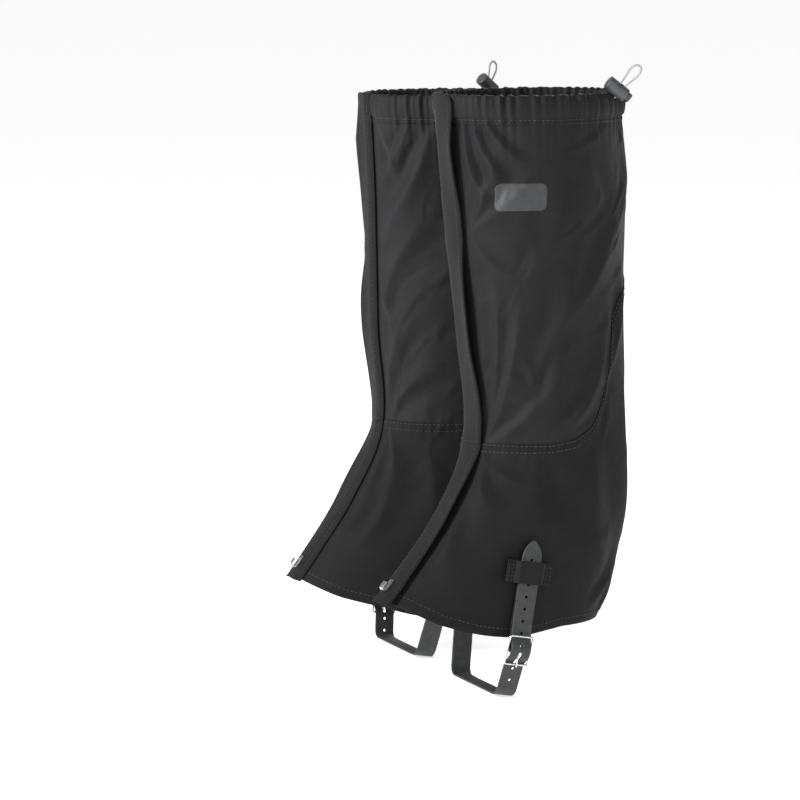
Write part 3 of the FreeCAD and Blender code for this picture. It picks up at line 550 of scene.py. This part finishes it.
def make_camera():
    camera = bpy.data.objects.new("camera", bpy.data.cameras.new("camera"))
    bpy.context.scene.collection.objects.link(camera)
    bpy.context.scene.camera = camera
    camera.data.sensor_width = 36.0
    camera.data.lens = 160.0
    camera.data.clip_end = 60.0
    camera.location = (2.70055, -1.23784, 0.6396)
    heading = math.radians(156.78)
    pitch = math.radians(-7.91)
    forward = Vector((math.cos(heading) * math.cos(pitch), math.sin(heading) * math.cos(pitch),
                      math.sin(pitch)))
    camera.rotation_euler = forward.to_track_quat("-Z", "Y").to_euler()


# Along the barrel, along the cord's legs, and how far the cord sags to the side there.
LOOP_STOPS = [(2.2, -7.5, 0.0), (2.2, 7.0, 0.0), (3.6, 14.0, 0.3), (4.6, 21.0, 0.8),
              (2.6, 26.5, 1.6), (-2.2, 26.9, 1.6),
              (-4.6, 21.4, 0.8), (-3.2, 14.0, 0.3), (-2.2, 7.0, 0.0), (-2.2, -7.5, 0.0)]
LOCK_ANGLE = 126.0


def lock_axes():
    """The lock's place and directions in the left leg's frame, as the CAD part has them."""
    height = np.array(RIM)
    ahead = np.array([*leg_surface("left", LOCK_ANGLE + 1.0, height, 0.0), 0.0])
    behind = np.array([*leg_surface("left", LOCK_ANGLE - 1.0, height, 0.0), 0.0])
    tangent = (ahead - behind) / np.linalg.norm(ahead - behind)
    up = np.array([0.0, 0.0, 1.0])
    outward = np.cross(tangent, up)
    legs = (outward + up) / math.sqrt(2)
    barrel = tangent * 0.5 + (outward - up) / math.sqrt(2) * 0.866
    barrel /= np.linalg.norm(barrel)
    corner = np.array([*leg_surface("left", LOCK_ANGLE, height, 1.2), RIM])
    centre = corner + legs * (11.5 / 2 + 0.8)
    return centre, barrel, legs, np.cross(barrel, legs)


def cord_loops():
    """The free loop of elastic cord at each rim: one smooth open spline."""
    centre, barrel, legs, across = lock_axes()
    for side in SIDES:
        points = []
        for along_barrel, along_legs, sag in LOOP_STOPS:
            p = centre + barrel * along_barrel + legs * along_legs - across * sag
            points.append(to_row(side, p[0], p[1], p[2]))
        curve = bpy.data.curves.new(side + "_loop_cord", "CURVE")
        curve.dimensions = "3D"
        curve.bevel_depth = 0.9 * MM
        curve.bevel_resolution = 4
        curve.resolution_u = 16
        curve.use_fill_caps = True
        spline = curve.splines.new("NURBS")
        spline.points.add(len(points) - 1)
        for target, point in zip(spline.points, points):
            target.co = (*point, 1.0)
        spline.order_u = 3
        spline.use_endpoint_u = True
        curve.materials.append(MATERIALS["elastic_cord"])
        cord = bpy.data.objects.new(side + "_loop_cord", curve)
        bpy.context.scene.collection.objects.link(cord)
        finish_piece(cord, side + "_shell", "elastic_cord", side + "_cord_loop")


# ---------------------------------------------------------------- panels

def half_angles(half, columns):
    return np.linspace(0.1, 179.9, columns) if half == "outer" else np.linspace(-179.9, -0.1, columns)


UPPER_GROW = -0.35
LAP = 4.5  # the heavy fabric laps over the light one by this much, either way from the seam


def lower_grow(side, angle, height):
    """The heavy cloth lies over the light one near the seam."""
    y = leg_surface(side, angle, height, 0.0)[1]
    lap = np.exp(-(np.clip(seam_height(side, y) - height, -20, 60) / 9.0) ** 2)
    return -0.15 + 0.45 * lap


def panels():
    for side in SIDES:
        for half in ("outer", "inner"):
            angles = half_angles(half, 190)
            seam = seam_row(side, angles)
            hem = hem_row(side, angles)
            top = np.full(len(angles), CASING_FOOT + 1.5)
            name = "%s_upper_%s" % (side, half)
            upper = cloth_panel(name + "_cloth", side, angles, seam - LAP, top, 135, UPPER_GROW,
                                "light_fabric", 0.5)
            finish_piece(upper, side + "_shell", "light_fabric", name + "_panel")
            name = "%s_lower_%s" % (side, half)
            lower = cloth_panel(name + "_cloth", side, angles, hem, seam + LAP, 105,
                                lambda a, h: lower_grow(side, a, h), "heavy_fabric", 0.8)
            finish_piece(lower, side + "_shell", "heavy_fabric", name + "_panel")


def hem_folds():
    """The hem's folded allowance inside the lower panels, in two lengths."""
    for side in SIDES:
        for half, angles in (("outer", np.linspace(15, 179.9, 150)),
                             ("inner", np.linspace(-179.9, -15, 150))):
            hem = hem_row(side, angles)
            fold = cloth_panel("%s_hem_%s_fold" % (side, half), side, angles, hem - 0.2, hem + 10.0,
                               9, -1.35, "heavy_fabric", 0.8)
            finish_piece(fold, side + "_shell", "heavy_fabric")
        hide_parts(side + "_hem_facing")


CASING_PROFILE = [  # grow and height of the tunnel's section, from its outer foot round
    (0.25, 466.6), (0.45, 468.2), (0.05, 470.4), (0.9, 472.4), (1.6, 475.5), (2.0, 479.5),
    (2.0, 483.5), (1.5, 487.0), (0.4, 489.8), (-0.9, 490.6), (-2.2, 489.4), (-3.0, 486.0),
    (-3.3, 481.0), (-3.1, 476.0), (-2.5, 471.5), (-1.7, 468.0), (-1.1, 466.6),
]


def casings():
    """The gathered tunnel at each rim."""
    angles = np.linspace(1.2, 358.8, 900)
    pleats = gathers(wrap(angles))
    late = gathers(wrap(angles + 1.7))
    for side in SIDES:
        rings = []
        uv = []
        walked = 0.0
        for index, (grow, height) in enumerate(CASING_PROFILE):
            up = (height - 466.0) / 24.0
            inside = grow < -0.5
            swing = 0.6 + 1.2 * up if not inside else 0.4 + 1.0 * up
            wave = pleats if not inside else late
            rise = np.full(len(angles), height) + 0.75 * up ** 3 * pleats
            stand = grow + swing * wave
            if not inside and up < 0.25:
                stand = grow + UPPER_GROW + relief(side, angles, height)
            x, y = leg_surface(side, angles, np.minimum(rise, 493.0), stand)
            rings.append(to_row(side, x, y, rise))
            uv.append(np.stack([angles * MM_PER_DEGREE, np.full(len(angles), walked)], axis=1))
            walked += 2.8
        points = np.concatenate(rings)
        rows = len(CASING_PROFILE)
        faces = grid_faces(rows, len(angles), close_rows=True)
        last = len(angles) - 1
        faces.append([row * len(angles) for row in range(rows)])
        faces.append([row * len(angles) + last for row in range(rows)][::-1])
        casing = new_object(side + "_gathered_casing", points, faces, "light_fabric",
                            np.concatenate(uv))
        face_outwards(casing, side)
        finish_piece(casing, side + "_shell", "light_fabric", side + "_top_casing")


PATCH_HALF_WIDTH = 19.0
PATCH_HALF_HEIGHT = 11.0
PATCH_CORNER = 5.0
PATCH_Y = -37.0
PATCH_HEIGHT = 409.0


def patches():
    """A plain reflective patch on the outer side."""
    for side in SIDES:
        columns, rows = 40, 33
        up = np.sin(np.linspace(-1, 1, rows) * math.pi / 2)[:, None] * np.ones((1, columns))
        tall = PATCH_HALF_HEIGHT * up
        past_corner = np.clip(np.abs(tall) - (PATCH_HALF_HEIGHT - PATCH_CORNER), 0, PATCH_CORNER)
        half = PATCH_HALF_WIDTH - PATCH_CORNER + np.sqrt(PATCH_CORNER ** 2 - past_corner ** 2)
        wide = np.linspace(-1, 1, columns)[None, :] * half
        heights = PATCH_HEIGHT + tall
        y = PATCH_Y + wide
        front, rear, half_width, widest = leg_shape(side, heights)
        reach = widest - front
        angles = np.degrees(np.arccos(np.clip((widest - y) / reach, -1, 1)))
        points = cloth_point(side, angles, heights, UPPER_GROW + 0.22).reshape(-1, 3)
        uv = np.stack([wide.ravel(), tall.ravel()], axis=1)
        patch = new_object(side + "_plain_patch", points, grid_faces(rows, columns), "patch_print", uv)
        face_outwards(patch, side)
        thicken(patch, 0.15)
        finish_piece(patch, side + "_shell", "patch_print", side + "_reflective_patch")


# ---------------------------------------------------------------- the front flap

FLAP_LOW_X = -13.0
FLAP_HIGH_X = 15.0
TAPE_GAP = 6.5  # from the flap's split to the nearest end of a tape
TAPE_LOW_X = 3.0
TAPE_HIGH_X = 14.0


def flap_foot(side):
    """Height of the flap's lower end for a set of leg-frame x."""
    x = np.linspace(FLAP_LOW_X, FLAP_HIGH_X, 15)
    feet = []
    for value in x:
        angle = front_angle(side, np.array([value]), np.array([TIP_HEIGHT[side]]), 0.0)
        feet.append(hem_row_single(side, angle)[0])
    return x, np.array(feet)


def hem_row_single(side, angle):
    return crossing(side, angle, lambda y: hem_height(side, y), 30.0, 170.0)


def flap_lift(side, height):
    """How far the flap's free edge gapes open: nothing at a pinch, more between them."""
    first, second = PINCHES[side]
    gape = 1.0 - np.exp(-((height - first) / 26.0) ** 2)
    gape *= 1.0 - np.exp(-((height - second) / 24.0) ** 2)
    wave = 0.75 + 0.25 * np.sin(height / 23.0 + 0.6)
    top = np.clip((RIM + 3.0 - height) / 40.0, 0.25, 1.0)
    return gape * wave * top


def flap_sway(side, height):
    """The flap's edges wander a little from side to side."""
    phase = 0.0 if side == "left" else 1.7
    return 0.9 * np.sin(height / 31.0 + phase) + 0.5 * np.sin(height / 13.0 + 2.1 + phase)


def flap_point(side, share, height, lift):
    """share is 0 at the sewn edge and 1 at the free one; lift is above the flap's under face."""
    x = FLAP_LOW_X + (FLAP_HIGH_X - FLAP_LOW_X) * share + flap_sway(side, height) * (0.25 + 0.75 * share)
    rising = np.clip(share / 0.22, 0, 1)
    stand = 0.55 + (2.75 - 0.55) * rising * rising * (3 - 2 * rising)
    gape = flap_lift(side, height)
    stand = stand + 5.2 * gape * np.clip((share - 0.35) / 0.65, 0, 1) ** 2
    roll = 0.5 * np.sin(height / 5.1 + 3.0 * share) * np.exp(-((height - PINCHES[side][1]) / 14.0) ** 2)
    roll = roll + 0.4 * np.sin(height / 4.3) * np.exp(-((height - PINCHES[side][0]) / 12.0) ** 2)
    stand = stand + roll * share + lift
    angle = front_angle(side, x, height, stand)
    x, y = leg_surface(side, angle, height, stand)
    return to_row(side, x, y, height)


def flap_sheet(name, side, low, high, rows, top_round):
    """A closed strip with rounded edges.  low and high are heights for each share."""
    shares = np.linspace(0, 1, 17)
    grid = low[None, :] + (high - low)[None, :] * np.linspace(0, 1, rows)[:, None]
    wide = np.broadcast_to(shares[None, :], grid.shape)
    if top_round:
        drop = 5.0 * np.clip((shares - 0.72) / 0.28, 0, 1) ** 2.4
        grid = grid - drop[None, :] * (np.linspace(0, 1, rows)[:, None] ** 8)
    edge = 1 - np.clip(np.minimum(wide, 1 - wide) / 0.05, 0, 1)
    hem_bead = 0.35 * np.exp(-((wide - 0.93) / 0.05) ** 2) + 0.25 * np.exp(-((wide - 0.07) / 0.05) ** 2)
    top = flap_point(side, wide, grid, 1.3 - 0.35 * edge + hem_bead)
    under = flap_point(side, wide, grid, 0.0 + 0.3 * edge)
    columns = len(shares)
    points = np.concatenate([top.reshape(-1, 3), under.reshape(-1, 3)])
    faces = grid_faces(rows, columns)
    offset = rows * columns
    faces += [tuple(offset + i for i in face[::-1]) for face in grid_faces(rows, columns)]
    border = [c for c in range(columns)]
    border += [r * columns + columns - 1 for r in range(1, rows)]
    border += [(rows - 1) * columns + c for c in range(columns - 2, -1, -1)]
    border += [r * columns for r in range(rows - 2, 0, -1)]
    for here, there in zip(border, border[1:] + border[:1]):
        faces.append((there, here, offset + here, offset + there))
    uv = np.stack([wide.ravel() * 28.0, grid.ravel()], axis=1)
    strip = new_object(name, points, faces, "flap_fabric", np.concatenate([uv, uv]))
    face_outwards(strip, side)
    return strip


def blend_flap(thing):
    """Bake the piece's transform into its mesh."""
    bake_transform(thing)


def flaps():
    for side in SIDES:
        x, feet = flap_foot(side)
        shares = np.linspace(0, 1, 17)
        foot = np.interp(FLAP_LOW_X + (FLAP_HIGH_X - FLAP_LOW_X) * shares, x, feet) - 1.0
        split = np.full(17, FLAP_SPLIT[side])
        top = np.full(17, RIM + 3.0)
        for part, low, high, rows in (("upper", split, top, 170), ("lower", foot, split, 90)):
            strip = flap_sheet("%s_%s_flap_strip" % (side, part), side, low, high, rows, part == "upper")
            blend_flap(strip)
            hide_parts("%s_%s_flap" % (side, part))


def tapes():
    """Loop tape on the shell and hook tape on the flap."""
    for side in SIDES:
        for part, low, high in (("upper", FLAP_SPLIT[side] + TAPE_GAP, CASING_FOOT - 2.0),
                                ("lower", None, FLAP_SPLIT[side] - TAPE_GAP)):
            columns, rows = 9, 110
            x = np.linspace(TAPE_LOW_X, TAPE_HIGH_X, columns)
            if low is None:
                knots, feet = flap_foot(side)
                bottom = np.interp(x, knots, feet) + 9.0
            else:
                bottom = np.full(columns, low)
            grid = bottom[None, :] + (high - bottom)[None, :] * np.linspace(0, 1, rows)[:, None]
            wide = np.broadcast_to(x[None, :], grid.shape)
            uv = np.stack([wide.ravel(), grid.ravel()], axis=1)
            faces = grid_faces(rows, columns)
            angle = front_angle(side, wide, grid, 0.5)
            loop = new_object("%s_%s_loop_strip" % (side, part),
                              cloth_point(side, angle, grid, 0.75).reshape(-1, 3), faces,
                              "closure_tape", uv)
            face_outwards(loop, side)
            thicken(loop, 0.8)
            finish_piece(loop, side + "_shell", "closure_tape", "%s_%s_loop_tape" % (side, part))
            share = (wide - FLAP_LOW_X) / (FLAP_HIGH_X - FLAP_LOW_X)
            hook = new_object("%s_%s_hook_strip" % (side, part),
                              flap_point(side, share, grid, -0.15).reshape(-1, 3), faces,
                              "closure_tape", uv)
            face_outwards(hook, side)
            layer = hook.modifiers.new("thickness", "SOLIDIFY")
            layer.thickness = 0.8 * MM
            layer.offset = -1.0
            blend_flap(hook)
            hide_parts("%s_%s_hook_tape" % (side, part))


# ---------------------------------------------------------------- stitching

def stitches(name, points, lifted, length=2.7, gap=1.1, radius=0.27):
    """A row of separate stitches along a line; lifted is the same line further out."""
    step = np.linalg.norm(np.diff(points, axis=0), axis=1)
    walked = np.concatenate([[0.0], np.cumsum(step)]) / MM
    count = int(walked[-1] / (length + gap))
    vertices = []
    faces = []
    rings = ((0.0, 0.35, -0.25), (0.18, 0.9, 0.12), (0.5, 1.0, 0.25), (0.82, 0.9, 0.12),
             (1.0, 0.35, -0.25))
    sides = 6
    for index in range(count):
        begin = index * (length + gap)
        base = len(vertices)
        for share, girth, rise in rings:
            place = begin + share * length
            at = np.array([np.interp(place, walked, points[:, k]) for k in range(3)])
            out = np.array([np.interp(place, walked, lifted[:, k]) for k in range(3)]) - at
            ahead = np.array([np.interp(place + 0.4, walked, points[:, k]) for k in range(3)])
            back = np.array([np.interp(place - 0.4, walked, points[:, k]) for k in range(3)])
            out = out / (np.linalg.norm(out) + 1e-12)
            along = (ahead - back) / (np.linalg.norm(ahead - back) + 1e-12)
            aside = np.cross(along, out)
            centre = at + out * rise * MM
            for corner in range(sides):
                turn = 2 * math.pi * corner / sides
                vertices.append(centre + (out * math.sin(turn) + aside * math.cos(turn))
                                * radius * girth * MM)
        for ring in range(len(rings) - 1):
            for corner in range(sides):
                following = (corner + 1) % sides
                low = base + ring * sides
                faces.append((low + corner, low + following, low + sides + following,
                              low + sides + corner))
    return new_object(name, vertices, faces, "thread")


def shell_line(side, angles, heights, grow):
    base = cloth_point(side, angles, heights, grow)
    return base, cloth_point(side, angles, heights, grow + 1.0)


def shell_stitching():
    for side in SIDES:
        lines = []
        for start, stop in ((14.0, 179.5), (-179.5, -14.0)):
            angles = np.linspace(start, stop, 420)
            seam = seam_row(side, angles)
            hem = hem_row(side, angles)
            lines.append(("seam_a", shell_line(side, angles, seam + LAP - 1.6,
                                               lower_grow(side, angles, seam + LAP) + 0.05)))
            lines.append(("seam_b", shell_line(side, angles, seam + LAP - 7.0,
                                               lower_grow(side, angles, seam) + 0.05)))
            lines.append(("hem", shell_line(side, angles, hem + 6.5,
                                            lower_grow(side, angles, hem + 6.5) + 0.05)))
            top = np.full(len(angles), 470.4)
            lines.append(("casing", shell_line(side, angles, top, 0.15 + UPPER_GROW)))
        for index, (label, (base, lifted)) in enumerate(lines):
            half = "outer" if index < 4 else "inner"
            row = stitches("%s_%s_%s_stitches" % (side, half, label), base, lifted)
            finish_piece(row, side + "_shell", None)
        split = FLAP_SPLIT[side]
        for part, low, high in (("upper", split + 1.0, RIM - 4.0),
                                ("lower", TIP_HEIGHT[side] + 8.0, split - 1.0)):
            heights = np.linspace(low, high, 260)
            for label, share in (("sewn", 0.12), ("free", 0.86)):
                base = flap_point(side, share, heights, 1.38)
                lifted = flap_point(side, share, heights, 2.4)
                row = stitches("%s_%s_flap_%s_stitches" % (side, part, label), base, lifted)
                blend_flap(row)


# ---------------------------------------------------------------- strap, keeper and webbing

def soft_copy(node_name, name, material, voxel, body, slot):
    """A CAD solid remeshed finely and smoothed, so that its edges are soft and can be dressed."""
    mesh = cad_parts[node_name].data.copy()
    mesh.name = name
    mesh.materials.clear()
    mesh.materials.append(MATERIALS[material])
    thing = bpy.data.objects.new(name, mesh)
    bpy.context.scene.collection.objects.link(thing)
    remesh = thing.modifiers.new("remesh", "REMESH")
    remesh.mode = "VOXEL"
    remesh.voxel_size = voxel * MM
    remesh.use_smooth_shade = True
    soften = thing.modifiers.new("soften", "SMOOTH")
    soften.factor = 0.5
    soften.iterations = 3
    finish_piece(thing, body, slot, node_name)
    return thing


def straps():
    for side in SIDES:
        shell = side + "_shell"
        soft_copy(side + "_instep_strap", side + "_punched_strap", "strap_rubber", 0.42, shell,
                  "strap_rubber")
        keeper = soft_copy(side + "_strap_keeper", side + "_sewn_keeper", "heavy_solid", 0.4, shell,
                           "heavy_fabric")
        chape = soft_copy(side + "_chape", side + "_webbing_chape", "webbing", 0.4, shell, "webbing")


def strap_point(side, x, y, z):
    """A point of the strap's own frame, which leans forward at its foot, in the row frame."""
    anchor_x = 50.0 * math.cos(TOE_OUT) + 41.6 * math.sin(TOE_OUT) + LEG_OFFSET
    anchor_y = 50.0 * math.sin(TOE_OUT) - 41.6 * math.cos(TOE_OUT)
    lean = math.radians(-10.0)
    rise = z - 41.5
    row = np.array([x + anchor_x - 50.0,
                    y * math.cos(lean) - rise * math.sin(lean) + anchor_y,
                    y * math.sin(lean) + rise * math.cos(lean) + 41.5])
    if side == "right":
        row[0] = -row[0]
    row[2] -= DROP[side]
    return row * MM


def keeper_stitching():
    for side in SIDES:
        for index, across in enumerate((-18.6, -15.2, 15.2, 18.6)):
            heights = np.linspace(96.8, 113.2, 12)
            base = np.array([strap_point(side, 52.28, across, z) for z in heights])
            lifted = np.array([strap_point(side, 53.3, across, z) for z in heights])
            row = stitches("%s_keeper_stitches_%d" % (side, index), base, lifted, 2.2, 0.9, 0.24)
            finish_piece(row, side + "_shell", None)


HARDWARE = {
    "cord_lock_body": "lock_plastic",
    "cord_lock_button": "lock_plastic",
    "cord_lock_spring": "spring_steel",
    "drawcord": "elastic_cord",
    "buckle_frame": "buckle_metal",
    "buckle_prong": "buckle_metal",
    "lace_hook": "hook_metal",
    "lace_hook_rivet": "hook_metal",
    "strap_rivets": "hook_metal",
}


def hardware():
    """CAD pieces that keep their shape and get their finish."""
    for side in SIDES:
        for name, material in HARDWARE.items():
            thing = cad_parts["%s_%s" % (side, name)]
            thing.data.materials.clear()
            thing.data.materials.append(MATERIALS[material])


# ---------------------------------------------------------------- room

def studio():
    floor_mesh = bpy.data.meshes.new("floor")
    reach = 30.0
    floor_mesh.from_pydata([(-reach, -reach, 0), (reach, -reach, 0), (reach, reach, 0),
                            (-reach, reach, 0)], [], [(0, 1, 2, 3)])
    floor = bpy.data.objects.new("floor", floor_mesh)
    bpy.context.scene.collection.objects.link(floor)
    material, tree, shader = new_material("pale_floor")
    shader.inputs["Base Color"].default_value = (0.86, 0.86, 0.86, 1)
    shader.inputs["Emission Color"].default_value = (1, 1, 1, 1)
    shader.inputs["Emission Strength"].default_value = 0.66
    shader.inputs["Roughness"].default_value = 0.95
    floor_mesh.materials.append(material)
    world = bpy.data.worlds.new("studio")
    world.use_nodes = True
    world.node_tree.nodes["Background"].inputs["Color"].default_value = (1, 1, 1, 1)
    world.node_tree.nodes["Background"].inputs["Strength"].default_value = 0.34
    bpy.context.scene.world = world
    lamps = (("key", (0.35, -2.9, 1.7), 0.7, 135.0), ("side", (2.8, 0.4, 1.4), 1.2, 14.0),
             ("back", (-1.6, 1.8, 2.0), 1.4, 26.0))
    for name, place, spread, power in lamps:
        lamp = bpy.data.lights.new(name, "AREA")
        lamp.size = spread
        lamp.energy = power
        holder = bpy.data.objects.new(name, lamp)
        bpy.context.scene.collection.objects.link(holder)
        holder.location = place
        aim = Vector((0, 0, 0.28)) - Vector(place)
        holder.rotation_euler = aim.to_track_quat("-Z", "Y").to_euler()
    bpy.context.scene.view_settings.view_transform = "Standard"


make_camera()
cord_loops()
panels()
hem_folds()
casings()
patches()
flaps()
tapes()
shell_stitching()
straps()
keeper_stitching()
hardware()
studio()
